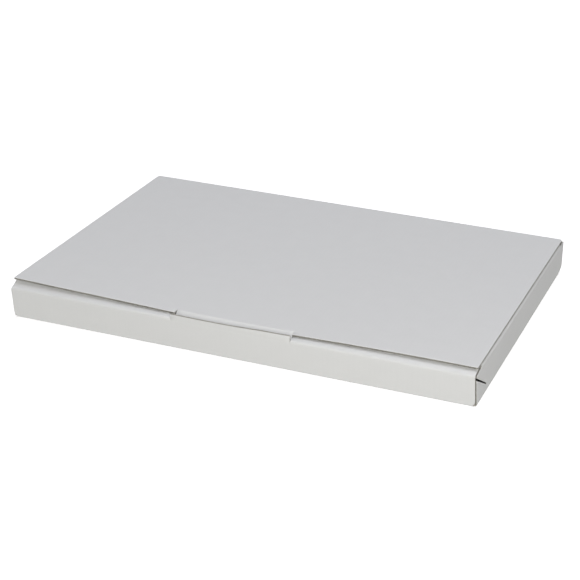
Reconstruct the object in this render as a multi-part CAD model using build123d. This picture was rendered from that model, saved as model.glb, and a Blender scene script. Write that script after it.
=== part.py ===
from build123d import *
import math
import os

# A flat book mailer folded from one sheet of white-lined corrugated board.
# X runs along the box, the front wall faces -Y, and the box stands on its base at Z = 0.
# While it is drawn, Y = 0 is the foot of the front wall.

# Board
board = 1.5                   # thickness of the sheet
crease_radius = 1.1           # middle of the sheet round a hard crease
soft_radius = 1.6             # middle of the sheet round the top of the front wall
crease_strip = 0.25           # flat strip of base outside the ends of the front and back walls
lap_gap = 0.1                 # air between panels that lie on each other
overrun = 5.0                 # how far a cutter passes the piece that it cuts

# Tray
tray_length = 316.2           # over the side walls
tray_depth = 215.0            # foot of the front wall to the back wall's outer face
back_height = 24.4            # top of the closed lid along the back crease
front_height = 22.4           # top of the front wall's fold
front_lean = 2.4              # how far the top of the front wall leans out over its foot
front_end_inset = 0.2         # ends of the front wall, short of the side walls' outer faces
front_ear_foot = 0.4          # height at which those ends start, in front of the side walls
front_ear_run = 2.0           # how far they go over the fold, before the flap is drawn in
front_flap_depth = 58.0       # front flap, from the fold to its free edge
front_flap_taper = 14.0       # how far each end of that edge is drawn in

# Side walls and the dust flaps that fold in over the front flap
dust_flap_width = 58.0        # side wall to the flap's free edge
dust_flap_front = 10.5        # front end of the flap's crease
dust_flap_back_inset = 6.5    # back end of the crease, short of the back wall
dust_flap_taper = 12.0        # how far each end of the free edge is drawn in
dust_flap_drop = 0.2          # flap below the lid at its back end
cheek_height = 22.1           # top edge of the side wall just behind the front fold
shoulder_height = 23.4        # and at the front end of the flap's crease
heel_run = 9.0                # round lower back corner of the side wall, along the base
heel_rise = 5.0               # and up the back

# Slanting slit behind the front corner of each side wall
slit_top = 20.5               # where the slit's line meets the front wall's outer face
slit_end_back = 21.5          # its closed end, from the foot of the front wall
slit_end_height = 6.0
slit_width = 1.4              # at the front edge
slit_end_width = 0.7

# Lid
lid_length = 314.0            # along the back crease
lid_front_inset = 2.8         # lid's front edge behind the foot of the front wall
lid_round = 1.3               # outer round of the back crease
lid_flat = 84.0               # level middle of the front edge, held down by the tongue
left_shoulder = 1.95          # front edge above that middle, over the left dust flap's free edge
left_lift = 3.5               # and at the left corner
right_shoulder = 1.55         # the same on the right
right_lift = 1.7

# Tongue, and the slot that it tucks into
tongue_length = 80.0
tongue_foot = 12.5            # height of its free edge above the ground
tongue_corner = 7.0           # round of the free edge's corners
tongue_radius = 1.5           # middle of the sheet round its crease
tongue_bend = 19.5            # height at which it turns down behind the front wall
tongue_bend_radius = 3.0
tongue_gap = 0.45             # air between the tongue and the front wall
tongue_press = 0.04           # how much thinner the tongue is pressed at its crease
tongue_nick_width = 0.9       # short cut into the lid beside the tongue
tongue_nick_depth = 4.6
tongue_root = 3.0             # flat of the lid that the tongue runs on into
slot_side_gap = 0.4           # slot beyond each end of the tongue
slot_back_gap = 0.4           # slot behind the tongue's crease
lip_rise = 2.7                # upright lip of the front wall above the fold, at its ends
lip_sag = 0.65                # its middle lies this much lower

half_board = board / 2
half_length = tray_length / 2
half_lid = lid_length / 2
side_middle = half_length - half_board
wall_end = side_middle - crease_radius - crease_strip
lid_under_back = back_height - board
dust_flap_back = tray_depth - dust_flap_back_inset
fold_y = half_board - front_lean
fold_z = front_height - half_board
fold_bottom = fold_z - soft_radius

# The front flap and the dust flaps fall towards the back at one slope, so that they lie flat on each other.
flap_slope = (front_height + lap_gap + board + dust_flap_drop - lid_under_back) / (dust_flap_back - fold_y)
lean_slope = front_lean / (fold_z - half_board)


def wall_middle(height):
    """Y of the middle of the front wall at a height."""
    return half_board - lean_slope * (height - half_board)


def front_flap_top(y):
    return front_height - flap_slope * (y - fold_y)


def dust_flap_top(y):
    return front_flap_top(y) + lap_gap + board


def folded_sheet(points, radii, thickness=board):
    """Section of a folded strip, from the middle line of the sheet."""
    return trace(FilletPolyline(*points, radius=radii), line_width=thickness)


def along_x(section, half_width):
    return extrude(Plane.YZ * section, amount=half_width, both=True)


# Distance from the middle of the front wall to the wall's outer face, measured level
face_offset = half_board * math.hypot(1, lean_slope)


def wall_outside(height):
    """Y of the front wall's outer face at a height."""
    return wall_middle(height) - face_offset


def wall_back(height):
    """Y just behind the front wall, where the side walls end."""
    return wall_middle(height) + face_offset + lap_gap


def front_ears():
    """Front wall and fold at full length, over the front edges of the side walls."""
    end = fold_y + front_ear_run
    section = folded_sheet(
        [
            (wall_middle(front_ear_foot), front_ear_foot),
            (fold_y, fold_z),
            (end, front_flap_top(end) - half_board),
        ],
        [soft_radius],
    )
    strip = along_x(section, half_length - front_end_inset)
    between = Box(2 * wall_end, tray_depth, tray_depth)
    return strip - between


def long_sheet():
    """Back wall, base, front wall and front flap: one strip with three creases."""
    flap_end = fold_y + front_flap_depth
    section = folded_sheet(
        [
            (tray_depth - half_board, lid_under_back),
            (tray_depth - half_board, half_board),
            (half_board, half_board),
            (fold_y, fold_z),
            (flap_end, front_flap_top(flap_end) - half_board),
        ],
        [crease_radius, crease_radius, soft_radius],
    )
    sheet = along_x(section, wall_end)
    corner = Polyline(
        (wall_end + overrun, fold_y + soft_radius + board),
        (wall_end, fold_y + soft_radius + board),
        (wall_end - front_flap_taper, flap_end),
        (wall_end - front_flap_taper, flap_end + overrun),
        (wall_end + overrun, flap_end + overrun),
        close=True,
    )
    clear_height = fold_z - soft_radius - board - flap_slope * front_flap_depth
    cutter = Pos(0, 0, clear_height) * extrude(make_face(corner), amount=front_height)
    return sheet - cutter - mirror(cutter, Plane.YZ) + front_ears()


def side_wall():
    """Right side wall with its crease, slit and dust flap."""
    crease_top = half_board + crease_radius
    crease_drop = half_board + crease_radius
    root = folded_sheet(
        [(wall_end, half_board), (side_middle, half_board), (side_middle, crease_top + crease_radius)],
        [crease_radius],
    )
    root_back = tray_depth - heel_run
    foot = Pos(0, root_back, 0) * extrude(Plane.XZ * root, amount=root_back - wall_back(front_ear_foot))

    cheek_y = fold_y + front_ear_run + lap_gap
    flap_level = dust_flap_top(dust_flap_front)
    heel = (tray_depth, heel_rise)
    toe = (tray_depth - heel_run, crease_top)
    outline = [
        Polyline(
            (wall_back(crease_top), crease_top),
            (wall_back(fold_bottom), fold_bottom),
            (cheek_y, fold_bottom),
            (cheek_y, cheek_height),
            (dust_flap_front, shoulder_height),
            (dust_flap_front, flap_level - crease_drop),
            (dust_flap_back, dust_flap_top(dust_flap_back) - crease_drop),
            (dust_flap_back, dust_flap_top(dust_flap_back)),
            (tray_depth, dust_flap_top(tray_depth)),
            heel,
        ),
        Bezier(heel, (tray_depth, crease_top), toe),
        Line(toe, (wall_back(crease_top), crease_top)),
    ]
    panel = Pos(side_middle, 0, 0) * extrude(Plane.YZ * make_face(outline), amount=half_board, both=True)

    flap_section = folded_sheet(
        [
            (side_middle, flap_level - crease_drop - crease_radius),
            (side_middle, flap_level - half_board),
            (half_length - dust_flap_width, flap_level - half_board),
        ],
        [crease_radius],
    )
    crease_length = dust_flap_back - dust_flap_front
    slant = Vector(0, 1, -flap_slope)
    flap = extrude(
        Pos(0, dust_flap_front, 0) * (Plane.XZ * flap_section),
        amount=crease_length * slant.length,
        dir=slant.normalized(),
    )
    free_edge = half_length - dust_flap_width
    for end, inward in ((dust_flap_front, 1), (dust_flap_back, -1)):
        corner = Polyline(
            (free_edge - overrun, end - inward * overrun),
            (side_middle - crease_drop, end - inward * overrun),
            (side_middle - crease_drop, end),
            (free_edge, end + inward * dust_flap_taper),
            (free_edge - overrun, end + inward * dust_flap_taper),
            close=True,
        )
        flap -= extrude(make_face(corner), amount=front_height + back_height)

    slit_mouth = wall_outside(slit_top) - overrun
    run = slit_end_back - wall_outside(slit_top)
    fall = (slit_top - slit_end_height) / run
    slit_line = Polyline(
        (slit_mouth, slit_top + fall * overrun + slit_width / 2),
        (slit_end_back, slit_end_height + slit_end_width / 2),
        (slit_end_back, slit_end_height - slit_end_width / 2),
        (slit_mouth, slit_top + fall * overrun - slit_width / 2),
        close=True,
    )
    slit = Pos(side_middle, 0, 0) * extrude(Plane.YZ * make_face(slit_line), amount=board, both=True)
    return foot + panel + flap - slit


def tongue_slot(sheet):
    """Slot through the front fold, with the lip that stays upright in the plane of the wall."""
    slot_back = tongue_crease_y + slot_back_gap
    slot_front = wall_outside(front_height) - overrun
    slot_length = tongue_length + 2 * slot_side_gap
    slot = Pos(0, (slot_front + slot_back) / 2, fold_bottom) * Box(
        slot_length, slot_back - slot_front, front_height,
        align=(Align.CENTER, Align.CENTER, Align.MIN),
    )
    lip_top = front_height + lip_rise
    slab_top = lip_top + board
    slab = along_x(
        trace(
            Line((wall_middle(fold_bottom), fold_bottom), (wall_middle(slab_top), slab_top)),
            line_width=board,
        ),
        slot_length / 2,
    )
    hollow = make_face([
        ThreePointArc(
            (-slot_length / 2, lip_top),
            (0, lip_top - lip_sag),
            (slot_length / 2, lip_top),
        ),
        Polyline(
            (slot_length / 2, lip_top),
            (slot_length / 2, lip_top + overrun),
            (-slot_length / 2, lip_top + overrun),
            (-slot_length / 2, lip_top),
        ),
    ])
    lip = slab - extrude(Plane.XZ * hollow, amount=tray_depth, both=True)
    return sheet - slot + lip


# Lid: a straight back crease and a front edge that springs up at its corners
lid_middle_under = front_height + lap_gap
lid_run = tray_depth - lid_front_inset
tongue_crease_y = lid_front_inset + tongue_nick_depth
lid_slope = (lid_middle_under - lid_under_back) / lid_run
tongue_offset = (board + tongue_gap) * math.hypot(1, lean_slope)


def lid_middle(y):
    """Height of the middle of the sheet along the level middle of the lid."""
    return lid_middle_under + half_board - lid_slope * (y - lid_front_inset)


def lid_front_edge(lift):
    """Curve of the front edge, raised by a lift, from the left corner to the right one."""
    level = lid_middle_under + lift
    shoulder = half_length - dust_flap_width
    flat_end = lid_flat / 2
    return [
        Spline(
            (-half_lid, level + left_lift),
            (-shoulder, level + left_shoulder),
            (-flat_end, level),
        ),
        Line((-flat_end, level), (flat_end, level)),
        Spline(
            (flat_end, level),
            (shoulder, level + right_shoulder),
            (half_lid, level + right_lift),
        ),
    ]


def lid_back_edge(lift):
    level = lid_under_back + lift
    stations = (-half_lid, -lid_flat / 2, lid_flat / 2, half_lid)
    return [Line((a, level), (b, level)) for a, b in zip(stations, stations[1:])]


def lid_section(edge, y):
    lower = edge(0)
    upper = edge(board)
    ends = [Line(lower[0] @ 0, upper[0] @ 0), Line(lower[-1] @ 1, upper[-1] @ 1)]
    return Pos(0, y, 0) * (Plane.XZ * make_face(lower + upper + ends))


def lid_panel():
    panel = loft(
        [lid_section(lid_back_edge, tray_depth), lid_section(lid_front_edge, lid_front_inset)],
        ruled=True,
    )
    back_edges = panel.edges().filter_by(Axis.X).group_by(Axis.Y)[-1].group_by(Axis.Z)[-1]
    return fillet(back_edges, radius=lid_round)


def tongue():
    """Tongue, from its crease in the lid down through the slot and behind the front wall."""
    root_y = tongue_crease_y + tongue_root
    foot_y = half_board + lean_slope * half_board + tongue_offset
    section = folded_sheet(
        [
            (root_y, lid_middle(root_y)),
            (tongue_crease_y, lid_middle(tongue_crease_y)),
            (foot_y - lean_slope * tongue_bend, tongue_bend),
            (foot_y - lean_slope * tongue_foot, tongue_foot),
        ],
        [tongue_radius, tongue_bend_radius],
        board - tongue_press,
    )
    sheet = along_x(section, tongue_length / 2)
    outline_height = 2 * (lid_middle(tongue_crease_y) - tongue_foot)
    outline = Pos(0, tongue_foot + outline_height / 2) * RectangleRounded(
        tongue_length, outline_height, tongue_corner,
    )
    return sheet & extrude(Plane.XZ * outline, amount=tray_depth, both=True)


def lid_with_tongue():
    """Lid, cut out in front of the tongue's crease and beside its ends."""
    notch = Pos(0, tongue_crease_y, front_height) * Box(
        tongue_length + 2 * tongue_nick_width, tongue_nick_depth + overrun, front_height,
        align=(Align.CENTER, Align.MAX, Align.CENTER),
    )
    return lid_panel() - notch + tongue()


right_side = side_wall()
tray = tongue_slot(long_sheet()) + right_side + mirror(right_side, Plane.YZ)
lid = lid_with_tongue()

# The origin lies under the middle of the whole box.
whole = Compound([tray, lid]).bounding_box()
to_origin = Pos(-whole.center().X, -whole.center().Y, -whole.min.Z)

os.makedirs("parts", exist_ok=True)
for name, piece in (("tray", tray), ("lid", lid)):
    export_step(to_origin * piece, f"parts/{name}.step")

hinge_y = tray_depth - whole.center().Y
print(f"hinge at y {hinge_y:.3f}, z {back_height - whole.min.Z:.3f}")
print(f"box {whole.size.X:.2f} x {whole.size.Y:.2f} x {whole.size.Z:.2f}")
print(f"foot of the front wall at y {-whole.center().Y:.3f}")
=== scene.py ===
import math

import bpy
import numpy as np
from mathutils import Matrix, Vector
from mathutils.geometry import delaunay_2d_cdt
from mathutils.kdtree import KDTree


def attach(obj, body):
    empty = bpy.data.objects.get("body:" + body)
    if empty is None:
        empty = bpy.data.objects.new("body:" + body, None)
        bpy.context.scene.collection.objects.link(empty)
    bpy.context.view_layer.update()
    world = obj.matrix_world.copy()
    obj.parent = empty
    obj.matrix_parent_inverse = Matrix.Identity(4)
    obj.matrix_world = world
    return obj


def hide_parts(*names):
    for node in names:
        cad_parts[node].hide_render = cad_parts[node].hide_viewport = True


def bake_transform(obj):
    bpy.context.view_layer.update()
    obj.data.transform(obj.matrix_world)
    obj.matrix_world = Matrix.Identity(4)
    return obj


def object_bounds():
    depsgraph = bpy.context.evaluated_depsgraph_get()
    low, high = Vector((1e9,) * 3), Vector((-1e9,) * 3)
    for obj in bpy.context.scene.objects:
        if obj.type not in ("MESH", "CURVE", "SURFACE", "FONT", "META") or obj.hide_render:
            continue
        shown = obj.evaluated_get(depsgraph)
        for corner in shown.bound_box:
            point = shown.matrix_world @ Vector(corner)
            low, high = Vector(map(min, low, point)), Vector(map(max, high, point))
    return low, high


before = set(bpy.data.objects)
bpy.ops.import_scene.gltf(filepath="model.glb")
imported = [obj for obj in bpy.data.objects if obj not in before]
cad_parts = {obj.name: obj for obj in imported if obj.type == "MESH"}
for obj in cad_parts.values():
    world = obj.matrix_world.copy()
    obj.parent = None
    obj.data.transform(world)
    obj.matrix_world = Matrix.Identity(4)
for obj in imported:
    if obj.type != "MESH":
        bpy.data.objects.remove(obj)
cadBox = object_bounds()

mm = 0.001
boxDepth = 215.0                          # millimetres, as all the lengths of the sheets
footY = cadBox[1].y / mm - boxDepth       # foot of the front wall, from where the sheets are laid out
print("frame loaded, front foot at", round(footY, 3))


# shader helpers

class wire:      # a shader socket that can be used in sums
    def __init__(self, tree, socket):
        self.tree = tree
        self.socket = socket

    def math(self, operation, first, second):
        step = self.tree.nodes.new("ShaderNodeMath")
        step.operation = operation
        for socket, value in zip(step.inputs, (first, second)):
            if isinstance(value, wire):
                self.tree.links.new(value.socket, socket)
            else:
                socket.default_value = value
        return wire(self.tree, step.outputs[0])

    def __add__(self, other):
        return self.math("ADD", self, other)

    def __radd__(self, other):
        return self.math("ADD", other, self)

    def __sub__(self, other):
        return self.math("SUBTRACT", self, other)

    def __mul__(self, other):
        return self.math("MULTIPLY", self, other)


class paint:     # one material and its nodes
    def __init__(self, name):
        self.material = bpy.data.materials.new(name)
        self.material.use_nodes = True
        self.tree = self.material.node_tree
        self.tree.nodes.clear()

    def node(self, kind, settings=None, **sockets):
        step = self.tree.nodes.new(kind)
        for key, value in (settings or {}).items():
            setattr(step, key, value)
        for key, value in sockets.items():      # by name, or by number as in i0
            socket = step.inputs[int(key[1:])] if key[1:].isdigit() else step.inputs[key.replace("_", " ")]
            if isinstance(value, wire):
                self.tree.links.new(value.socket, socket)
            else:
                socket.default_value = value
        return step

    def out(self, step, name):
        return wire(self.tree, step.outputs[name])

    def noise(self, place, scale, detail):
        return self.out(self.node("ShaderNodeTexNoise", Vector=place, Scale=scale, Detail=detail), "Fac")

    def tinted(self, colour, tone):      # a colour times a grey tone
        shade = self.node("ShaderNodeCombineXYZ", X=tone, Y=tone, Z=tone)
        return self.out(self.node("ShaderNodeMix", {"data_type": "RGBA", "blend_type": "MULTIPLY"},
                                  i0=1.0, i6=colour, i7=self.out(shade, "Vector")), 2)

    def paper(self, look, colour, rough, height):      # the last nodes of every paper finish
        bump = self.node("ShaderNodeBump", Strength=look["bump"], Distance=mm, Height=height)
        shader = self.node("ShaderNodeBsdfPrincipled", Base_Color=colour, Roughness=rough,
                           Normal=self.out(bump, "Normal"), Specular_IOR_Level=look["gloss"])
        self.node("ShaderNodeOutputMaterial", Surface=self.out(shader, "BSDF"))
        return self.material


# folded sheets: points on the middle of the board, its outer side, and the flat blank that they come from

board = dict(
    thick=1.5, liner=0.30, flutePitch=3.4,
    pinch=0.28, pinchDrop=0.16,      # how far the cutting rule rounds the liners over at a cut edge
    grooveDeep=1.3,                  # how deep a look into the cut edge goes
    foldWearAndHighlight=1.2,                    # how far beside a fold its wear and its painted highlight show
    sharpTurn=0.35,                  # a corner is mitred while one plus the cosine of its turn is more
    sharpEdge=38.0,                  # degrees
    straightCut=0.9,                 # cosine of the turn up to which a cut is one run
    acrossShare=0.4, shortestCut=0.6,     # least share of a cut across the flutes, least length in flutes
)
halfBoard = board["thick"] / 2
net = dict(                          # spacing of the points on the panels, and how near is the same place
    weld=0.02, sliver=0.002, joint=0.01, slope=0.1, apart=0.2, short=0.1,
    fold=0.22, beside=1.2, panel=6.5, back=5, across=6, middle=4, rim=1.5,
    wallFoot=(0.5, 1.0, 1.6, 2.4), wallFrom=3.4, flap=0.9, behindEar=(0.8, 1.6), flapFrom=4,
    wallRows=(5.2, 9.1, 13.0, 16.9, 20.2), wallStep=6.1, wallFront=4, wallBack=3, clear=1.4, cheek=1.0,
    lidAcross=5.5, tongueRows=(2, 1.0, 1.6), tongueFold=0.2, tongue=1.2, tongueSoft=0.5, crease=0.15,
)


class foldLine:      # middle line of a folded strip: straight runs and arcs
    def __init__(self, points, radii):
        points = [np.array(p, float) for p in points]
        self.runs = []
        start = points[0]
        for i in range(1, len(points)):
            ahead = points[i] - points[i - 1]
            ahead = ahead / np.linalg.norm(ahead)
            if i == len(points) - 1:
                self.addLine(start, points[i])
                break
            turned = points[i + 1] - points[i]
            turned = turned / np.linalg.norm(turned)
            turn = math.acos(max(-1, min(1, float(ahead @ turned))))
            side = 1 if ahead[0] * turned[1] - ahead[1] * turned[0] > 0 else -1
            reach = radii[i - 1] * math.tan(turn / 2)
            arcStart = points[i] - ahead * reach
            self.addLine(start, arcStart)
            leftOf = np.array((-ahead[1], ahead[0])) * side
            centre = arcStart + leftOf * radii[i - 1]
            first = math.atan2(*(-leftOf)[::-1])
            self.runs.append(dict(kind="arc", centre=centre, radius=radii[i - 1], first=first,
                                  sweep=side * turn, length=radii[i - 1] * turn))
            start = points[i] + turned * reach
        at = 0
        for run in self.runs:
            run["start"] = at
            at += run["length"]
        self.length = at

    def addLine(self, first, last):
        length = float(np.linalg.norm(last - first))
        self.runs.append(dict(kind="line", first=first, ahead=(last - first) / length, length=length))

    def at(self, s):
        run = [r for r in self.runs if r["start"] <= s + 1e-9][-1]
        part = s - run["start"]
        if run["kind"] == "line":
            point, ahead = run["first"] + run["ahead"] * part, run["ahead"]
        else:
            angle = run["first"] + run["sweep"] * part / run["length"]
            point = run["centre"] + run["radius"] * np.array((math.cos(angle), math.sin(angle)))
            turn = 1 if run["sweep"] > 0 else -1
            ahead = np.array((-math.sin(angle), math.cos(angle))) * turn
        return point, np.array((-ahead[1], ahead[0]))


class sheet:         # one cut and folded sheet, gathered from its panels
    def __init__(self):
        self.points, self.outside, self.blank, self.fold, self.faces = [], [], [], [], []

    def add(self, point, outside, blank, fold):
        self.points.append(np.array(point, float))
        self.outside.append(np.array(outside, float))
        self.blank.append(blank)
        self.fold.append(fold)
        return len(self.points) - 1

    def grid(self, rows, columns, place, keep=None):
        ids = [[self.add(*place(r, c)) for c in columns] for r in rows]
        for i in range(len(rows) - 1):
            for j in range(len(columns) - 1):
                if keep is None or keep((rows[i] + rows[i + 1]) / 2, (columns[j] + columns[j + 1]) / 2):
                    self.faces.append((ids[i][j], ids[i][j + 1], ids[i + 1][j + 1], ids[i + 1][j]))

    def outline(self, loop, inner, place):
        count = len(loop)
        edges = [(i, (i + 1) % count) for i in range(count)]
        flat = [Vector(p) for p in loop] + [Vector(p) for p in inner]
        verts, _, faces, *_ = delaunay_2d_cdt(flat, edges, [], 0, 1e-6)
        ring = np.array(loop)
        ids = [self.add(*place(v.x, v.y)) for v in verts]
        for face in faces:
            a, b, c = (verts[i] for i in face)
            wide = abs((b - a).cross(c - a)) > net["sliver"]      # no slivers along straight edges
            if wide and insideLoop(ring, (a + b + c) / 3):
                self.faces.append(tuple(ids[i] for i in face))

    def welded(self):
        tree = KDTree(len(self.points))
        for i, p in enumerate(self.points):
            tree.insert(p, i)
        tree.balance()
        same = list(range(len(self.points)))
        for i, p in enumerate(self.points):
            same[i] = min(k for _, k, _ in tree.find_range(p, net["weld"]))
        used = sorted({same[k] for face in self.faces for k in face})
        fresh = {k: n for n, k in enumerate(used)}
        points = np.array([self.points[k] for k in used])
        outside = np.array([self.outside[k] / np.linalg.norm(self.outside[k]) for k in used])
        faces = []
        for face in self.faces:
            ring = [fresh[same[k]] for k in face]
            ring = [k for n, k in enumerate(ring) if k != ring[n - 1]]
            if len(ring) < 3:
                continue
            first, second = points[ring[1]] - points[ring[0]], points[ring[-1]] - points[ring[0]]
            if np.cross(first, second) @ outside[ring].sum(0) < 0:
                ring.reverse()
            faces.append(tuple(ring))
        return points, outside, [self.blank[k] for k in used], [self.fold[k] for k in used], faces


def insideLoop(ring, point):
    x, y = point
    ends = np.roll(ring, -1, axis=0)
    spans = (ring[:, 1] > y) != (ends[:, 1] > y)
    with np.errstate(divide="ignore", invalid="ignore"):
        crossing = (ends[:, 0] - ring[:, 0]) * (y - ring[:, 1]) / (ends[:, 1] - ring[:, 1]) + ring[:, 0]
    return bool(np.count_nonzero(spans & (x < crossing)) % 2)


def smoothThrough(points, x):      # even curve through a few points
    xs, ys = np.array(points).T
    slopes = np.gradient(ys, xs)
    i = int(np.clip(np.searchsorted(xs, x) - 1, 0, len(xs) - 2))
    width = xs[i + 1] - xs[i]
    t = (x - xs[i]) / width
    return float((2 * t**3 - 3 * t**2 + 1) * ys[i] + (t**3 - 2 * t**2 + t) * width * slopes[i]
                 + (3 * t**2 - 2 * t**3) * ys[i + 1] + (t**3 - t**2) * width * slopes[i + 1])


def stations(first, last, step):
    count = max(1, int(math.ceil(abs(last - first) / step)))
    return list(np.linspace(first, last, count + 1))


def wearAndHighlight(s, first, last):      # how much the wear and the painted highlight of a fold from first to last show at s
    return float(np.clip(1 - max(first - s, s - last, 0) / board["foldWearAndHighlight"], 0, 1))


def boardPiece(name, made, joined, materials):
    points, outside, blank, fold, faces = made.welded()
    count = len(points)
    edges = dict.fromkeys((a, b) for face in faces for a, b in zip(face, face[1:] + face[:1]))
    rim = {a: b for a, b in edges if (b, a) not in edges}
    before = {b: a for a, b in rim.items()}
    away = np.zeros((count, 3))
    onJoint = np.array([joined(p) for p in points])
    for k in rim:
        arrive, leave = points[k] - points[before[k]], points[rim[k]] - points[k]
        first = np.cross(arrive / np.linalg.norm(arrive), outside[k])
        second = np.cross(leave / np.linalg.norm(leave), outside[k])
        turned = 1 + first @ second
        away[k] = (first + second) / turned if turned > board["sharpTurn"] else (first + second) * 0.5
        if onJoint[k]:      # along a joint the board runs on, so only its end turns over
            if onJoint[before[k]]:
                away[k] = 0 if onJoint[rim[k]] else second
            else:
                away[k] = first
    upper = points + outside * halfBoard - away * board["pinch"]
    lower = points - outside * halfBoard - away * board["pinch"]
    core, brim, deep = halfBoard - board["liner"], halfBoard - board["pinchDrop"], board["grooveDeep"]
    rings = []           # from the outer liner over the cut edge to the inner one
    for inward, height in ((0, brim), (0, core), (deep, core), (deep, -core), (0, -core), (0, -brim)):
        rings.append(points + outside * height - away * inward)
    rimOrder = sorted(rim)
    coords = list(upper) + list(lower)
    rimIds = []
    for ring in rings:
        start = len(coords)
        coords += [ring[k] for k in rimOrder]
        rimIds.append({k: start + n for n, k in enumerate(rimOrder)})
    chain = [{k: k for k in rimOrder}] + rimIds + [{k: count + k for k in rimOrder}]
    polys = list(faces) + [tuple(count + k for k in reversed(face)) for face in faces]
    outer, inner, cut, medium = range(len(materials))
    kinds = [outer] * len(faces) + [inner] * len(faces)
    for a in rimOrder:
        b = rim[a]
        plain = onJoint[a] and onJoint[b]
        for level, kind in enumerate((outer, cut, medium, medium, medium, cut, inner)):
            one, two = chain[level], chain[level + 1]
            polys.append((one[a], two[a], two[b], one[b]))
            kinds.append(cut if plain else kind)
    sourceOf = list(range(count)) * 2 + rimOrder * len(rings)
    mesh = bpy.data.meshes.new(name)
    mesh.from_pydata([Vector((p[0], p[1] + footY, p[2])) * mm for p in coords], [], polys)
    for material in materials:
        mesh.materials.append(material)
    mesh.polygons.foreach_set("material_index", kinds)
    mesh.polygons.foreach_set("use_smooth", [True] * len(polys))
    layer = mesh.uv_layers.new(name="blank")
    corners = np.zeros(len(mesh.loops), int)
    mesh.loops.foreach_get("vertex_index", corners)
    flat = np.array([blank[k] for k in sourceOf])[corners] * mm
    layer.data.foreach_set("uv", flat.astype(np.float32).ravel())
    shade = mesh.attributes.new("fold", "FLOAT", "POINT")
    shade.data.foreach_set("value", np.array([fold[k] for k in sourceOf], np.float32))
    mesh.validate()
    mesh.set_sharp_from_angle(angle=math.radians(board["sharpEdge"]))
    piece = bpy.data.objects.new(name, mesh)
    bpy.context.scene.collection.objects.link(piece)
    print(name, len(polys), "faces,", len(rimOrder), "points on cut edges")
    return piece, cutRuns(points, outside, blank, rim, before, onJoint)


def cutRuns(points, outside, blank, rim, before, onJoint):      # where a cut goes across the flutes
    cells = []
    left = set(rim)
    while left:
        start = left.pop()
        left.add(start)
        loop = [start]
        while rim[loop[-1]] != start:
            loop.append(rim[loop[-1]])
        left -= set(loop)
        turns = []
        for k in loop:
            a, b = points[k] - points[before[k]], points[rim[k]] - points[k]
            turns.append(a @ b < board["straightCut"] * np.linalg.norm(a) * np.linalg.norm(b))
        first = turns.index(True) if True in turns else 0
        loop, turns = loop[first:] + loop[:first], turns[first:] + turns[:first]
        runs, run = [], [loop[0]]
        for k, turn in list(zip(loop, turns))[1:] + [(loop[0], True)]:
            run.append(k)
            if turn:
                runs.append(run)
                run = [k]
        for run in runs:
            if all(onJoint[k] for k in run):
                continue
            path = points[run]
            across = np.array([blank[k][0] for k in run])
            steps = np.abs(np.diff(across))
            length = np.linalg.norm(np.diff(path, axis=0), axis=1).sum()
            if steps.sum() < board["acrossShare"] * length:
                continue
            if steps.sum() < board["shortestCut"] * board["flutePitch"]:
                continue
            along = np.concatenate(([0], np.cumsum(steps + 1e-9)))
            number = max(1, round(steps.sum() / board["flutePitch"]))
            marks = np.linspace(0, along[-1], number + 1)
            spots, sides = (np.array([np.interp(marks, along, axis) for axis in ends.T]).T
                            for ends in (path, outside[run]))
            for a, b, up in zip(spots, spots[1:], sides):
                wide = np.linalg.norm(b - a)
                cells.append(((a + b) / 2, (b - a) / wide, up, wide / board["flutePitch"]))
    return cells


# the tray: one sheet with the base, the walls and the flaps that turn in

tray = dict(
    length=316.2, depth=boxDepth,
    backTop=21.4,                 # where the back wall passes into the lid's crease
    frontTop=22.4, frontLean=2.4,
    hardFold=1.1, softFold=0.9, foldStrip=0.25,
    frontFlap=58.0, frontFlapTaper=14.0,
    dustFlap=58.0, dustFront=10.5, dustBack=6.5, dustTaper=12.0, dustDrop=0.2,
    dustBlank=180.0,              # where the dust flaps start on the flat blank, clear of the walls
    lapGap=0.1, earGap=0.05,
    frontEnds=dict(left=157.65, right=157.25, slant=0.0256, corner=3.4, foot=0.9,
                   rows=(0.75, 0.4), least=0.05, narrowest=0.12),
    # the flap's corners, and the side walls' top edge under them
    earEnd=8.8, taperGap=0.2, wallGap=0.1, cheekY=0.45, shoulder=23.4,
    # how far the flap springs up behind the fold, at the left end and at the right one
    springLeft=[(-0.6, 0.0), (0.4, 0.22), (2.0, 1.0), (3.5, 1.7), (5.5, 2.6), (7.0, 2.85),
                (8.8, 2.1), (10.4, 0.0)],
    springRight=[(-0.6, 0.0), (0.4, 0.5), (2.9, 0.9), (5.1, 1.35), (7.2, 1.45), (8.8, 1.1), (10.4, 0.0)],
    leanIn=0.038, leanRun=45.0,   # side walls lean in a little at their front ends
    heel=(9.0, 5.0),              # rounded lower back corners of the side walls
    slitTop=20.5, slitEnd=(21.5, 6.0), slitWide=(1.9, 1.0),
    slot=(-41.8, 39.0), slotBack=7.8,
    lipTop=[(-40.4, 25.1), (-20.0, 24.8), (0.0, 24.75), (20.0, 24.95), (40.4, 25.1)],
    lipBack=[(-40.4, 0.0), (-5.0, 0.0), (20.0, 0.9), (40.4, 1.0)],      # how far the tongue pushes its edge
    lidUnderBack=22.9,
)


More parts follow.
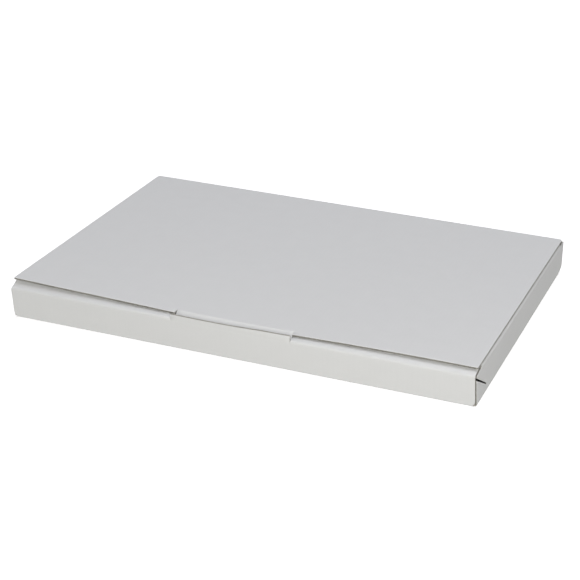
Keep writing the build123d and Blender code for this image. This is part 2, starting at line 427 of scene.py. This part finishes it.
def trayShape():
    t = tray
    halfLength = t["length"] / 2
    sideMiddle = halfLength - halfBoard
    wallEnd = sideMiddle - t["hardFold"] - t["foldStrip"]
    foldY, foldZ = halfBoard - t["frontLean"], t["frontTop"] - halfBoard
    dustBackY = t["depth"] - t["dustBack"]
    dustDrop = t["frontTop"] + t["lapGap"] + board["thick"] + t["dustDrop"] - t["lidUnderBack"]
    flapSlope = dustDrop / (dustBackY - foldY)
    leanSlope = t["frontLean"] / (foldZ - halfBoard)
    faceOffset = halfBoard * math.hypot(1, leanSlope)

    def wallMiddle(z):
        return halfBoard - leanSlope * (z - halfBoard)

    def dustTop(y):
        return t["frontTop"] - flapSlope * (y - foldY) + t["lapGap"] + board["thick"]

    made = sheet()

    # back wall, base, front wall and front flap
    flapEnd = foldY + t["frontFlap"]
    line = foldLine(
        [(t["depth"] - halfBoard, t["backTop"]), (t["depth"] - halfBoard, halfBoard), (halfBoard, halfBoard),
         (foldY, foldZ), (flapEnd, t["frontTop"] - flapSlope * t["frontFlap"] - halfBoard)],
        [t["hardFold"], t["hardFold"], t["softFold"]])
    backRun, backArc, baseRun, frontArc, wallRun, softArc, flapRun = line.runs
    toeY = t["depth"] - t["heel"][0]
    baseBack, baseFront = baseRun["first"][0], baseRun["first"][0] - baseRun["length"]
    baseY = [baseBack, baseBack - net["beside"]]
    baseY += stations(toeY, baseFront + net["beside"], net["panel"]) + [baseFront]
    rows = stations(0, backRun["length"] - net["beside"], net["back"])
    rows += stations(backArc["start"], baseRun["start"], net["fold"])
    rows += [baseRun["start"] + baseBack - y for y in baseY[1:-1]]
    rows += stations(frontArc["start"], wallRun["start"], net["fold"])
    rows += [wallRun["start"] + step for step in net["wallFoot"]]
    rows += stations(wallRun["start"] + net["wallFrom"], softArc["start"] - net["rim"], net["middle"])
    rows += stations(softArc["start"], flapRun["start"], net["fold"])
    slotEnd = flapRun["start"] + t["slotBack"] - flapRun["first"][0]
    earEnd = flapRun["start"] + t["earEnd"] - flapRun["first"][0]
    rows += stations(flapRun["start"] + net["flap"], slotEnd, net["flap"])
    rows += [earEnd] + [earEnd + step for step in net["behindEar"]]
    rows += stations(earEnd + net["flapFrom"], line.length, net["across"])
    slotLeft, slotRight = t["slot"]
    middle = stations(slotLeft, slotRight, net["middle"])
    columns = [-wallEnd] + stations(net["rim"] - wallEnd, slotLeft, net["across"]) + middle[1:-1]
    columns += stations(slotRight, wallEnd - net["rim"], net["across"]) + [wallEnd]
    taperFrom = t["earEnd"] + t["taperGap"]
    folds = [(backArc["start"], baseRun["start"]), (frontArc["start"], wallRun["start"]),
             (softArc["start"], flapRun["start"])]

    def nearFold(s):
        return max(wearAndHighlight(s, first, last) for first, last in folds)

    def room(x):      # under the lid's front edge, above the flap
        return smoothThrough(lid["frontTop"], x) - board["thick"] - t["frontTop"] - t["lapGap"]

    def spring(x, y):
        knots = t["springLeft"] if x < 0 else t["springRight"]
        if not knots[0][0] < y < knots[-1][0]:
            return 0.0
        share = room(x) / room(math.copysign(lid["half"], x))
        return max(0.0, share) * smoothThrough(knots, y)

    def sprung(x, y, z, ny, nz):      # height and outer side of the flap where it springs up
        slope = (spring(x, y + net["slope"]) - spring(x, y - net["slope"])) / (2 * net["slope"])
        return z + spring(x, y), ny - slope * nz

    def placeLong(s, x):
        (y, z), (ny, nz) = line.at(s)
        wide = x
        if s > softArc["start"]:
            drawn = t["frontFlapTaper"] * np.clip((y - taperFrom) / (flapEnd - taperFrom), 0, 1)
            over = max(0.0, abs(x) + slotLeft)
            wide = math.copysign(abs(x) - over * drawn / (wallEnd + slotLeft), x)
            z, ny = sprung(wide, y, z, ny, nz)
        return (wide, y, z), (0, ny, nz), (x, -s), nearFold(s)

    made.grid(rows, columns, placeLong,
              lambda s, x: not (slotLeft < x < slotRight and softArc["start"] < s < slotEnd))

    # ends of the front wall and its fold, over the front edges of the side walls
    ends = t["frontEnds"]
    earRows = [wallRun["start"] - step for step in ends["rows"]]
    earRows += [s for s in rows if wallRun["start"] - 1e-6 < s < earEnd + 1e-6]
    for hand, reach in ((-1, ends["left"]), (1, ends["right"])):
        def placeEar(s, share):
            (y, z), (ny, nz) = line.at(max(s, wallRun["start"]))
            if s < wallRun["start"]:
                y, z = np.array((y, z)) + wallRun["ahead"] * (s - wallRun["start"])
            up = min(max(z - ends["foot"], ends["least"]), ends["corner"])
            rounded = math.sqrt(ends["corner"]**2 - (ends["corner"] - up)**2)
            end = reach - (hand > 0) * ends["slant"] * z - ends["corner"] + rounded
            x = wallEnd + share * max(end - wallEnd, ends["narrowest"])
            if s > softArc["start"]:
                z, ny = sprung(hand * wallEnd, y, z, ny, nz)
            return (hand * x, y, z), (0, ny, nz), (hand * x, -s), nearFold(s)

        made.grid(earRows, [0, 0.5, 1], placeEar)

    # lip at the slot, in the plane of the front wall
    lipStart = softArc["start"]
    lipFoot, lipOut = line.at(lipStart)
    upward = np.array((-leanSlope, 1)) / math.hypot(1, leanSlope)

    def placeLip(part, x):
        top = np.interp(x, *zip(*t["lipTop"]))
        reach = part * (top - lipFoot[1]) / upward[1]
        y, z = lipFoot + upward * reach
        y += np.interp(x, *zip(*t["lipBack"])) * part**2
        return (x, y, z), (0, *lipOut), (x, -lipStart - reach), 0.0

    made.grid(list(np.linspace(0, 1, 6)), middle, placeLip)

    # side walls with their dust flaps
    foldTop = halfBoard + t["hardFold"]
    arc = math.pi / 2 * t["hardFold"]
    topY = stations(t["dustFront"], dustBackY, net["panel"])
    foldBottom = foldZ - t["softFold"]
    cheekY = t["cheekY"]

    def wallBack(z):
        return wallMiddle(z) + faceOffset + t["lapGap"]

    def leanIn(y, z):
        near = np.clip(1 - y / t["leanRun"], 0, 1)
        return t["leanIn"] * (z - halfBoard) * near * near * (3 - 2 * near)

    frontFoot = wallBack(foldTop)
    lowY = [y for y in baseY if frontFoot + net["apart"] < y <= toeY + 1e-6] + [frontFoot]
    slitMouth = wallMiddle(t["slitTop"]) - faceOffset
    fall = (t["slitTop"] - t["slitEnd"][1]) / (t["slitEnd"][0] - slitMouth)

    def slitEdge(y, side):
        wide = np.interp(y, (slitMouth, t["slitEnd"][0]), t["slitWide"])
        return t["slitTop"] - fall * (y - slitMouth) + side * wide / 2

    mouth = wallBack(foldBottom)
    for _ in range(20):      # walk on to where the slit opens
        mouth = wallBack(slitEdge(mouth, -1))
    heelTop, heelTurn = np.array((t["depth"], t["heel"][1])), np.array((t["depth"], foldTop))
    heelToe = np.array((toeY, foldTop))

    def sideOutline(hand):
        def under(y):      # top edge, just below the flap's corner
            edge = t["frontTop"] - board["thick"] - t["earGap"] + spring(hand * wallEnd, y)
            return min(edge, t["shoulder"])

        loop = [(wallBack(z), z) for z in stations(foldTop, slitEdge(mouth, -1), net["flap"])]
        deep = list(np.linspace(mouth + net["rim"], t["slitEnd"][0], 10))
        loop += [(y, slitEdge(y, -1)) for y in deep]
        loop += [(y, slitEdge(y, 1)) for y in reversed(deep)]
        loop += [(cheekY, z) for z in stations(slitEdge(cheekY, 1), under(cheekY), net["flap"])]
        loop += [(y, under(y)) for y in stations(cheekY, t["earEnd"] + t["wallGap"], net["cheek"])[1:]]
        loop += [(t["dustFront"], t["shoulder"])]
        loop += [(y, dustTop(y) - halfBoard - t["hardFold"]) for y in topY]
        loop += [(dustBackY, dustTop(dustBackY))]
        loop += [(t["depth"], z) for z in stations(dustTop(t["depth"]), t["heel"][1], net["middle"])[:-1]]
        loop += [tuple(heelTop * (1 - u)**2 + heelTurn * 2 * u * (1 - u) + heelToe * u**2)
                 for u in np.linspace(0, 1, 9)[:-1]]
        loop += [(y, foldTop) for y in lowY[:-1]]
        ring = np.array(loop)
        inner = []
        for y in np.arange(net["wallFront"], t["depth"] - net["wallBack"], net["wallStep"]):
            for z in net["wallRows"]:
                apart = np.linalg.norm(ring - (y, z), axis=1).min()
                if apart > net["clear"] and insideLoop(ring, (y, z)):
                    inner.append((y, z))
        return loop, inner

    crease = sideMiddle - t["hardFold"]
    free = halfLength - t["dustFlap"]
    taperX = crease - halfBoard
    shares = [(y - t["dustFront"]) / (dustBackY - t["dustFront"]) for y in topY]
    flapRows = [1 + step / (crease - free) for step in (halfBoard, net["beside"])]
    flapRows += list(1 + np.linspace(net["across"], crease - free, 10) / (crease - free))
    quarter = list(np.linspace(0, 1, 9))
    for hand in (1, -1):
        def placeWall(y, z):
            return ((hand * (sideMiddle - leanIn(y, z)), y, z), (hand, 0, 0),
                    (hand * (wallEnd + t["foldStrip"] + arc + z - foldTop), y), 0.0)

        def placeLow(part, y):
            if part < 0:
                x = hand * (wallEnd + t["foldStrip"] * (1 + part))
                return (x, y, halfBoard), (0, 0, -1), (x, y), 1.0
            angle = math.pi / 2 * (part - 1)
            out = (hand * math.cos(angle), 0, math.sin(angle))
            z = foldTop + t["hardFold"] * math.sin(angle)
            point = (hand * (crease + t["hardFold"] * math.cos(angle) - leanIn(y, z)), y, z)
            return point, out, (hand * (wallEnd + t["foldStrip"] + arc * part), y), 1.0

        def placeDust(part, share):
            if part <= 1:
                y = t["dustFront"] + share * (dustBackY - t["dustFront"])
                angle = math.pi / 2 * part
                centre = dustTop(y) - halfBoard - t["hardFold"]
                z = centre + t["hardFold"] * math.sin(angle)
                point = (hand * (crease + t["hardFold"] * math.cos(angle) - leanIn(y, z)), y, z)
                out = (hand * math.cos(angle), flapSlope * math.sin(angle), math.sin(angle))
                return point, out, (hand * (t["dustBlank"] + arc * part), y), 1.0
            x = crease - (part - 1) * (crease - free)
            drawn = t["dustTaper"] * np.clip((taperX - x) / (taperX - free), 0, 1)
            y = t["dustFront"] + drawn + share * (dustBackY - t["dustFront"] - 2 * drawn)
            z = dustTop(y) - halfBoard
            point = (hand * (x - leanIn(y, z) * (x - free) / (crease - free)), y, z)
            blank = (hand * (t["dustBlank"] + arc + crease - x), y)
            return point, (0, flapSlope, 1), blank, wearAndHighlight(crease - x, 0, 0)

        made.outline(*sideOutline(hand), placeWall)
        made.grid([-1] + quarter, lowY, placeLow)
        made.grid(quarter + flapRows, shares, placeDust)
    return made


# the lid with its tongue, and the crease that joins it to the back wall

lid = dict(
    half=157.0, front=2.8, backMiddle=23.65,
    slipLeft=(0.0, -1.05), slipRight=(0.32, -0.08),      # slip along the box, at the back and the front
    joint=212.0,                  # where the lid passes into its crease
    creaseBlank=3,                # how far behind the back wall the crease starts on the flat blank
    frontTop=[(-157.0, 27.46), (-124.0, 26.50), (-94.5, 25.81), (-66.0, 25.03), (-44.6, 24.40),
              (-20.0, 24.08), (0.0, 23.98), (20.0, 24.08), (44.0, 24.40), (70.0, 25.04), (96.0, 25.47),
              (121.0, 25.71), (146.0, 25.76), (157.0, 25.72)],
    tongue=(-40.2, 39.4), nick=0.15, nickDeep=4.6,
    tongueFlat=0.5, tongueBend=19.5, tongueFoot=12.5, tongueFold=1.5, tongueSoft=3.0, tongueRound=7.0,
    tongueLine=2.80,              # middle of the tongue at the ground, where it would reach down so far
    tongueLean=0.1148,
)


def lidHeight(x, y):
    front = smoothThrough(lid["frontTop"], x) - halfBoard
    rise = front - lid["backMiddle"]
    return lid["backMiddle"] + rise * (tray["depth"] - y) / (tray["depth"] - lid["front"])


def lidColumns():
    first, last = lid["tongue"]
    edge = lid["half"] - net["beside"]
    middle = stations(first, last, net["middle"])
    columns = [-lid["half"]] + stations(-edge, first - lid["nick"], net["lidAcross"]) + middle
    columns += stations(last + lid["nick"], edge, net["lidAcross"]) + [lid["half"]]
    return columns, middle


def slipped(x, y):
    share = (lid["joint"] - y) / (lid["joint"] - lid["front"])
    (leftBack, leftFront), (rightBack, rightFront) = lid["slipLeft"], lid["slipRight"]
    left, right = leftBack + (leftFront - leftBack) * share, rightBack + (rightFront - rightBack) * share
    return x + np.interp(x, (lid["tongue"][1], lid["half"]), (left, right))


def lidShape():
    d = lid
    made = sheet()
    crease = d["front"] + d["nickDeep"]
    columns, middle = lidColumns()
    far, near, past = net["tongueRows"]
    rows = stations(d["joint"], crease + far, net["panel"]) + [crease + near, crease, crease - past]
    rows += [d["front"] + net["beside"], d["front"]]

    def placeLid(y, x):
        slope = (lidHeight(x, y + 1) - lidHeight(x, y - 1)) / 2
        across = (lidHeight(min(x + 1, d["half"]), y) - lidHeight(max(x - 1, -d["half"]), y)) / 2
        return (slipped(x, y), y, lidHeight(x, y)), (-across, -slope, 1), (x, y), 0.0

    made.grid(rows, columns, placeLid,
              lambda y, x: y > crease or not d["tongue"][0] - d["nick"] < x < d["tongue"][1] + d["nick"])

    line = foldLine(
        [(crease, lidHeight(0, crease)), (crease - d["tongueFlat"], lidHeight(0, crease)),
         (d["tongueLine"] - d["tongueLean"] * d["tongueBend"], d["tongueBend"]),
         (d["tongueLine"] - d["tongueLean"] * d["tongueFoot"], d["tongueFoot"])],
        [d["tongueFold"], d["tongueSoft"]])
    _, firstArc, slant, secondArc, hang = line.runs
    steps = [0] + stations(firstArc["start"], slant["start"], net["tongueFold"])
    steps += stations(slant["start"], secondArc["start"], net["tongue"])[1:-1]
    rounded = line.length - d["tongueRound"]
    soft = stations(secondArc["start"], hang["start"], net["tongueSoft"])
    steps += [s for s in soft if s < rounded - net["short"]]
    steps += [rounded + d["tongueRound"] * math.sin(a) for a in np.linspace(0, math.pi / 2, 10)]

    centre, half = (middle[-1] + middle[0]) / 2, (middle[-1] - middle[0]) / 2

    def placeTongue(s, x):
        (y, z), out = line.at(s)
        short = d["tongueRound"] - (line.length - s)
        drawn = d["tongueRound"] - math.sqrt(max(0, d["tongueRound"]**2 - short**2)) if short > 0 else 0
        wide = slipped(centre + (x - centre) * (half - drawn) / half, y)
        sag = lidHeight(x, crease) - lidHeight(0, crease)
        fold = wearAndHighlight(s, firstArc["start"], slant["start"])
        return (wide, y, z + sag), (0, -out[0], -out[1]), (x, crease - s), fold

    made.grid(steps, middle, placeTongue)
    return made


def creaseShape():
    d = lid
    made = sheet()
    line = foldLine(
        [(tray["depth"] - halfBoard, tray["backTop"]), (tray["depth"] - halfBoard, d["backMiddle"]),
         (d["joint"], lidHeight(0, d["joint"]))],
        [tray["hardFold"]])
    wallEnd = tray["length"] / 2 - halfBoard - tray["hardFold"] - tray["foldStrip"]
    columns, _ = lidColumns()
    up, arc, over = line.runs
    rows = [0, up["length"] * 0.5] + stations(arc["start"], over["start"], net["crease"])
    rows += [over["start"] + over["length"] * 0.5, line.length]

    def placeCrease(s, x):
        (y, z), (ny, nz) = line.at(s)
        share = s / line.length
        freed = np.clip(2 * share - 1, 0, 1)
        wide = math.copysign(min(abs(x), wallEnd + (d["half"] - wallEnd) * freed), x)
        wide += (slipped(x, d["joint"]) - x) * freed
        lift = lidHeight(x, d["joint"]) - lidHeight(0, d["joint"])
        lift = lift * np.clip((s - over["start"]) / over["length"], 0, 1)
        return (wide, y, z + lift), (0, -ny, -nz), (x, tray["depth"] + d["creaseBlank"] - s), 1.0

    made.grid(rows, columns, placeCrease)
    return made


# finishes

whiteLiner = dict(
    colour=(0.640, 0.643, 0.648, 1),
    # the fold tone paints the folds lighter: a painted highlight
    mottle=0.018, fibre=0.022, speck=0.05, waveTone=0.002, foldHighlight=0.015,
    cloudScale=90.0, grainScale=(2600.0, 700.0, 1.0), speckScale=1500.0, speckFrom=0.70, speckFull=0.80,
    wrinkleScale=900.0,
    washboard=0.012,         # millimetres that the flutes stand out through the liner
    grainHigh=0.006, cloudHigh=0.03, wrinkleHigh=0.08, bump=0.6,
    rough=0.62, grainRough=0.10, foldRough=0.06, gloss=0.25,
)
insideLiner = dict(whiteLiner, colour=(0.615, 0.608, 0.590, 1), mottle=0.03, fibre=0.04, speck=0.12)


def linerFinish(name, look):
    p = paint(name)
    place = p.out(p.node("ShaderNodeUVMap", {"uv_map": "blank"}), "UV")
    fold = p.out(p.node("ShaderNodeAttribute", {"attribute_name": "fold"}), "Fac")
    split = p.node("ShaderNodeSeparateXYZ", Vector=place)
    across = p.out(split, "X")
    cloud = p.noise(place, look["cloudScale"], detail=3.0)
    grainAt = p.node("ShaderNodeMapping", Vector=place, Scale=look["grainScale"])
    grain = p.noise(p.out(grainAt, "Vector"), scale=1.0, detail=4.0)
    dust = p.noise(place, look["speckScale"], detail=1.0)
    specks = p.node("ShaderNodeMapRange", Value=dust, From_Min=look["speckFrom"], From_Max=look["speckFull"])
    wave = across.math("SINE", across * (2 * math.pi / (board["flutePitch"] * mm)), 0.0)
    tone = 1.0 + (cloud - 0.5) * (2 * look["mottle"]) + (grain - 0.5) * (2 * look["fibre"])
    tone = tone - p.out(specks, "Result") * look["speck"]
    # folds are painted a little lighter here: a painted highlight
    tone = tone + wave * look["waveTone"] + fold * look["foldHighlight"]
    wrinkle = p.noise(place, look["wrinkleScale"], detail=2.0)
    height = wave * (look["washboard"] * 0.5) + (grain - 0.5) * look["grainHigh"]
    height = height + (cloud - 0.5) * look["cloudHigh"] + (wrinkle - 0.5) * fold * look["wrinkleHigh"]
    rough = look["rough"] + (grain - 0.5) * look["grainRough"] + fold * look["foldRough"]
    return p.paper(look, p.tinted(look["colour"], tone), rough, height)


rawFibre = dict(
    liner=(0.56, 0.552, 0.530, 1), linerRough=0.85,
    medium=(0.43, 0.417, 0.388, 1), mediumRough=0.9,
    tuftScale=1800.0, tuftTone=0.5, patchScale=160.0, patchTone=0.3,
    tuftHigh=0.12, bump=0.8, tuftRough=0.1, gloss=0.2,
)


def fibreFinish(name, colour, rough):
    look = rawFibre
    p = paint(name)
    place = p.out(p.node("ShaderNodeTexCoord"), "Object")
    tuft = p.noise(place, look["tuftScale"], detail=4.0)
    patch = p.noise(place, look["patchScale"], detail=2.0)
    tone = 1.0 + (tuft - 0.5) * look["tuftTone"] + (patch - 0.5) * look["patchTone"]
    rough = rough + (tuft - 0.5) * look["tuftRough"]
    return p.paper(look, p.tinted(colour, tone), rough, tuft * look["tuftHigh"])


outerLiner = linerFinish("outerLiner", whiteLiner)
innerLiner = linerFinish("innerLiner", insideLiner)
cutLiner = fibreFinish("cutLiner", rawFibre["liner"], rawFibre["linerRough"])
flutedMedium = fibreFinish("flutedMedium", rawFibre["medium"], rawFibre["mediumRough"])
boardFinishes = [outerLiner, innerLiner, cutLiner, flutedMedium]
print("finishes made")


def atBackTop(p):
    return abs(p[2] - tray["backTop"]) < net["joint"]


def atTrayJoint(p):
    return atBackTop(p) and abs(p[1] - tray["depth"] + halfBoard) < net["joint"]


def atLidJoint(p):
    return abs(p[1] - lid["joint"]) < net["joint"]


def atEither(p):
    return atLidJoint(p) or atBackTop(p)


trayBoard, trayCells = boardPiece("trayBoard", trayShape(), atTrayJoint, boardFinishes)
lidBoard, lidCells = boardPiece("lidBoard", lidShape(), atLidJoint, boardFinishes)
lidCrease, _ = boardPiece("lidCrease", creaseShape(), atEither, boardFinishes)


# flutes that show in the cut edges

flute = dict(
    height=0.37, wall=0.16, recess=0.10, deep=1.2,      # millimetres
    unevenness=0.10, seed=7, points=9,
)


def fluteTree():
    tree = bpy.data.node_groups.new("cutFlutes", "GeometryNodeTree")
    face = tree.interface
    face.new_socket("Geometry", in_out="INPUT", socket_type="NodeSocketGeometry")
    for name in ("Pitch", "Height", "Wall", "Recess", "Deep", "Unevenness"):
        face.new_socket(name, in_out="INPUT", socket_type="NodeSocketFloat")
    face.new_socket("Seed", in_out="INPUT", socket_type="NodeSocketInt")
    face.new_socket("Material", in_out="INPUT", socket_type="NodeSocketMaterial")
    face.new_socket("Geometry", in_out="OUTPUT", socket_type="NodeSocketGeometry")
    join = tree.links.new

    def node(kind, **settings):
        step = tree.nodes.new(kind)
        for key, value in settings.items():
            setattr(step, key, value)
        return step

    def reckon(operation, first, second):
        step = node("ShaderNodeMath", operation=operation)
        for socket, value in zip(step.inputs, (first, second)):
            if isinstance(value, bpy.types.NodeSocket):
                join(value, socket)
            else:
                socket.default_value = value
        return step.outputs[0]

    given = node("NodeGroupInput").outputs
    ribbon = node("GeometryNodeMeshGrid")
    ribbon.inputs["Vertices X"].default_value = flute["points"]
    ribbon.inputs["Vertices Y"].default_value = 2
    join(given["Pitch"], ribbon.inputs["Size X"])
    join(given["Deep"], ribbon.inputs["Size Y"])
    split = node("ShaderNodeSeparateXYZ")
    join(node("GeometryNodeInputPosition").outputs[0], split.inputs[0])
    turn = reckon("DIVIDE", reckon("MULTIPLY", split.outputs["X"], 2 * math.pi), given["Pitch"])
    rise = reckon("SUBTRACT", reckon("MULTIPLY", reckon("COSINE", turn, 0.0), given["Height"]),
                  reckon("MULTIPLY", given["Wall"], 0.5))
    sink = reckon("ADD", reckon("MULTIPLY", given["Deep"], 0.5), given["Recess"])
    shift = node("ShaderNodeCombineXYZ")
    join(sink, shift.inputs["Y"])
    join(rise, shift.inputs["Z"])
    bent = node("GeometryNodeSetPosition")
    join(ribbon.outputs["Mesh"], bent.inputs["Geometry"])
    join(shift.outputs[0], bent.inputs["Offset"])
    upright = node("ShaderNodeCombineXYZ")
    upright.inputs["Z"].default_value = 1
    thick = node("GeometryNodeExtrudeMesh")
    thick.inputs["Individual"].default_value = False
    join(bent.outputs[0], thick.inputs["Mesh"])
    join(upright.outputs[0], thick.inputs["Offset"])
    join(given["Wall"], thick.inputs["Offset Scale"])
    under = node("GeometryNodeFlipFaces")
    join(bent.outputs[0], under.inputs[0])
    both = node("GeometryNodeJoinGeometry")
    join(thick.outputs["Mesh"], both.inputs[0])
    join(under.outputs[0], both.inputs[0])
    cell = node("GeometryNodeMergeByDistance")
    cell.inputs["Distance"].default_value = 1e-6
    join(both.outputs[0], cell.inputs["Geometry"])

    def named(kind, name):
        step = node("GeometryNodeInputNamedAttribute", data_type=kind)
        step.inputs["Name"].default_value = name
        return step.outputs["Attribute"]

    aim = node("FunctionNodeAxesToRotation", primary_axis="X", secondary_axis="Z")
    join(named("FLOAT_VECTOR", "along"), aim.inputs[0])
    join(named("FLOAT_VECTOR", "facing"), aim.inputs[1])
    chance = node("FunctionNodeRandomValue", data_type="FLOAT")
    join(given["Seed"], chance.inputs["Seed"])
    squeeze = reckon("SUBTRACT", 1.0, reckon("MULTIPLY", chance.outputs[1], given["Unevenness"]))
    size = node("ShaderNodeCombineXYZ")
    join(named("FLOAT", "stretch"), size.inputs["X"])
    size.inputs["Y"].default_value = 1
    join(squeeze, size.inputs["Z"])
    spread = node("GeometryNodeInstanceOnPoints")
    join(given["Geometry"], spread.inputs["Points"])
    join(cell.outputs[0], spread.inputs["Instance"])
    join(aim.outputs[0], spread.inputs["Rotation"])
    join(size.outputs[0], spread.inputs["Scale"])
    real = node("GeometryNodeRealizeInstances")
    join(spread.outputs[0], real.inputs[0])
    coat = node("GeometryNodeSetMaterial")
    join(real.outputs[0], coat.inputs["Geometry"])
    join(given["Material"], coat.inputs["Material"])
    join(coat.outputs[0], node("NodeGroupOutput").inputs[0])
    return tree


def flutes(name, cells, tree):
    rail = bpy.data.meshes.new(name + "Rail")
    spots, along, facing, stretch = zip(*cells)
    rail.from_pydata([Vector((p[0], p[1] + footY, p[2])) * mm for p in spots], [], [])
    for key, values in (("along", along), ("facing", facing)):
        layer = rail.attributes.new(key, "FLOAT_VECTOR", "POINT")
        layer.data.foreach_set("vector", np.array(values, np.float32).ravel())
    layer = rail.attributes.new("stretch", "FLOAT", "POINT")
    layer.data.foreach_set("value", np.array(stretch, np.float32))
    piece = bpy.data.objects.new(name, rail)
    bpy.context.scene.collection.objects.link(piece)
    modifier = piece.modifiers.new("cutFlutes", "NODES")
    modifier.node_group = tree
    sizes = dict(Pitch=board["flutePitch"] * mm, Height=flute["height"] * mm, Wall=flute["wall"] * mm,
                 Recess=flute["recess"] * mm, Deep=flute["deep"] * mm, Unevenness=flute["unevenness"],
                 Seed=flute["seed"], Material=flutedMedium)
    for item in tree.interface.items_tree:
        if item.in_out == "INPUT" and item.name in sizes:
            modifier[item.identifier] = sizes[item.name]
    bpy.context.view_layer.update()
    graph = bpy.context.evaluated_depsgraph_get()
    mesh = bpy.data.meshes.new_from_object(piece.evaluated_get(graph), depsgraph=graph)
    piece.modifiers.clear()
    piece.data = mesh
    mesh.name = name
    print(name, len(cells), "flutes,", len(mesh.polygons), "faces")
    return piece


tree = fluteTree()
trayFlutes = flutes("trayFlutes", trayCells, tree)
lidFlutes = flutes("lidFlutes", lidCells, tree)

# bodies

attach(trayBoard, "tray")
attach(trayFlutes, "tray")
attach(lidBoard, "lid")
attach(lidFlutes, "lid")
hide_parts("tray")
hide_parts("lid")
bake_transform(lidCrease)
print("pieces ride on their bodies")

# floor, light and camera

studio = dict(
    floor=(0.86, 0.86, 0.86, 1), floorWhite=0.54,       # as the camera sees it
    floorTint=(1.0, 1.0, 0.975, 1), floorLit=0.69,      # the even light it gives the walls
    floorHalf=6, floorTop=-0.0002,                      # metres
    world=(1.0, 0.975, 0.93, 1), worldLevel=0.145, backdropLevel=1.0,
)


def floorFinish():
    p = paint("paleFloor")
    seen = p.node("ShaderNodeLightPath")
    ray = p.out(seen, "Is Camera Ray")
    for kind in ("Is Glossy Ray", "Is Transmission Ray"):
        ray = ray.math("MAXIMUM", ray, p.out(seen, kind))
    matt = p.node("ShaderNodeBsdfDiffuse", Color=studio["floor"])
    white = p.node("ShaderNodeEmission", Color=(1, 1, 1, 1), Strength=studio["floorWhite"])
    glow = p.node("ShaderNodeAddShader", i0=p.out(matt, "BSDF"), i1=p.out(white, "Emission"))
    lit = p.node("ShaderNodeEmission", Color=studio["floorTint"], Strength=studio["floorLit"])
    mix = p.node("ShaderNodeMixShader", i0=ray, i1=p.out(lit, "Emission"), i2=p.out(glow, "Shader"))
    p.node("ShaderNodeOutputMaterial", Surface=p.out(mix, "Shader"))
    return p.material


floorMesh = bpy.data.meshes.new("floor")
corners = [(x * studio["floorHalf"], y * studio["floorHalf"], studio["floorTop"])
           for x, y in ((-1, -1), (1, -1), (1, 1), (-1, 1))]
floorMesh.from_pydata(corners, [], [(0, 1, 2, 3)])
floorMesh.materials.append(floorFinish())
floor = bpy.data.objects.new("floor", floorMesh)
bpy.context.scene.collection.objects.link(floor)

world = bpy.data.worlds.new("studio")
world.use_nodes = True
sky = world.node_tree.nodes
sky.clear()
path = sky.new("ShaderNodeLightPath")
dome = sky.new("ShaderNodeBackground")
dome.inputs["Color"].default_value = studio["world"]
dome.inputs["Strength"].default_value = studio["worldLevel"]
bright = sky.new("ShaderNodeBackground")
bright.inputs["Strength"].default_value = studio["backdropLevel"]
either = sky.new("ShaderNodeMath")
either.operation = "MAXIMUM"
mix = sky.new("ShaderNodeMixShader")
last = sky.new("ShaderNodeOutputWorld")
link = world.node_tree.links.new
link(path.outputs["Is Camera Ray"], either.inputs[0])
link(path.outputs["Is Glossy Ray"], either.inputs[1])
link(either.outputs[0], mix.inputs[0])
link(dome.outputs[0], mix.inputs[1])
link(bright.outputs[0], mix.inputs[2])
link(mix.outputs[0], last.inputs["Surface"])
bpy.context.scene.world = world

lamps = [
    dict(name="above", place=(0.02, 0.6, 2.3), aim=(-0.03, 0.03, 0.0), size=(1.9, 1.9), power=37.0,
         colour=(0.935, 0.948, 1.0)),
    dict(name="besideCamera", place=(0.44, -1.28, 0.5), aim=(0.0, 0.0, 0.0), size=(0.9, 0.5), power=9.4,
         colour=(1.0, 0.99, 0.945)),
    dict(name="near", place=(0.33, -0.6, 0.38), aim=(0.0, 0.0, 0.0), size=(0.5, 0.35), power=1.1,
         colour=(1.0, 0.99, 0.945)),
]
for look in lamps:
    lamp = bpy.data.lights.new(look["name"], "AREA")
    lamp.shape = "RECTANGLE"
    lamp.size, lamp.size_y = look["size"]
    lamp.energy = look["power"]
    lamp.color = look["colour"]
    holder = bpy.data.objects.new(look["name"], lamp)
    holder.location = look["place"]
    toward = Vector(look["aim"]) - Vector(look["place"])
    holder.rotation_euler = toward.to_track_quat("-Z", "Y").to_euler()
    bpy.context.scene.collection.objects.link(holder)

shot = dict(
    azimuth=21.924, elevation=25.126, roll=-0.512,      # degrees
    focal=1604.1, wide=580,                             # pixels, and the frame's width in them
    distance=1098.98, aside=5.684, below=0.978,         # millimetres
    about=(0.0, 110.0, 0.0), film=36,
    nearest=0.01,                                       # metres
)
turn, tilt, roll = (math.radians(shot[key]) for key in ("azimuth", "elevation", "roll"))
ahead = Vector((-math.sin(turn) * math.cos(tilt), math.cos(turn) * math.cos(tilt), -math.sin(tilt)))
level = Vector((math.cos(turn), math.sin(turn), 0))
down = ahead.cross(level)
right = level * math.cos(roll) + down * math.sin(roll)
down = down * math.cos(roll) - level * math.sin(roll)
eye = Vector(shot["about"]) - right * shot["aside"] - down * shot["below"] - ahead * shot["distance"]
lens = bpy.data.cameras.new("camera")
lens.sensor_width = shot["film"]
lens.lens = shot["focal"] / shot["wide"] * shot["film"]
lens.clip_start = shot["nearest"]
camera = bpy.data.objects.new("camera", lens)
facing = Matrix((right, -down, -ahead)).transposed().to_4x4()
camera.matrix_world = Matrix.Translation((eye + Vector((0, footY, 0))) * mm) @ facing
bpy.context.scene.collection.objects.link(camera)
bpy.context.scene.camera = camera
bpy.context.scene.view_settings.view_transform = "Standard"
print("floor, light and camera set")
